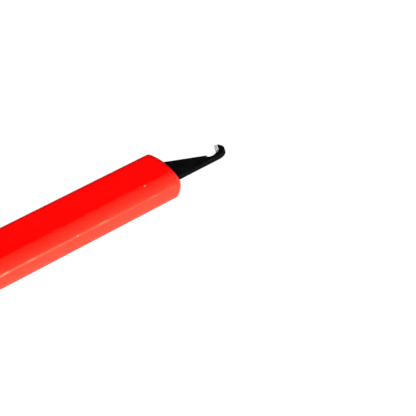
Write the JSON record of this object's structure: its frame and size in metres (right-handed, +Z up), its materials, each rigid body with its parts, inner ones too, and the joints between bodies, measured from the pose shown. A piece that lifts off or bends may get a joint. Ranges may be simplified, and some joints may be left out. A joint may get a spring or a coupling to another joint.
{
  "type": "hook knife",
  "caption": "Flat hand tool with a hooked steel blade for slitting and pulling off rubber grips, held in a straight rounded plastic handle.",
  "frame": {"origin": "centre of the footprint, on the surface that the knife lies on", "axes": "+X from the handle's tail to the hook; +Z up, through the handle's thickness, square to the flat blade; the throat of the hook opens towards +Y"},
  "size_m": [0.14, 0.0216, 0.012],
  "materials": {
    "handle_plastic": "satin-gloss injection-moulded red plastic",
    "blade_steel": "satin black coated steel with a bright ground edge in the throat",
    "pin_steel": "plain ground steel"
  },
  "bodies": {
    "root": {"blade": "blade_steel", "handle_upper_shell": "handle_plastic", "handle_lower_shell": "handle_plastic", "tang_pin_front": "pin_steel", "tang_pin_rear": "pin_steel"}
  },
  "joints": []
}
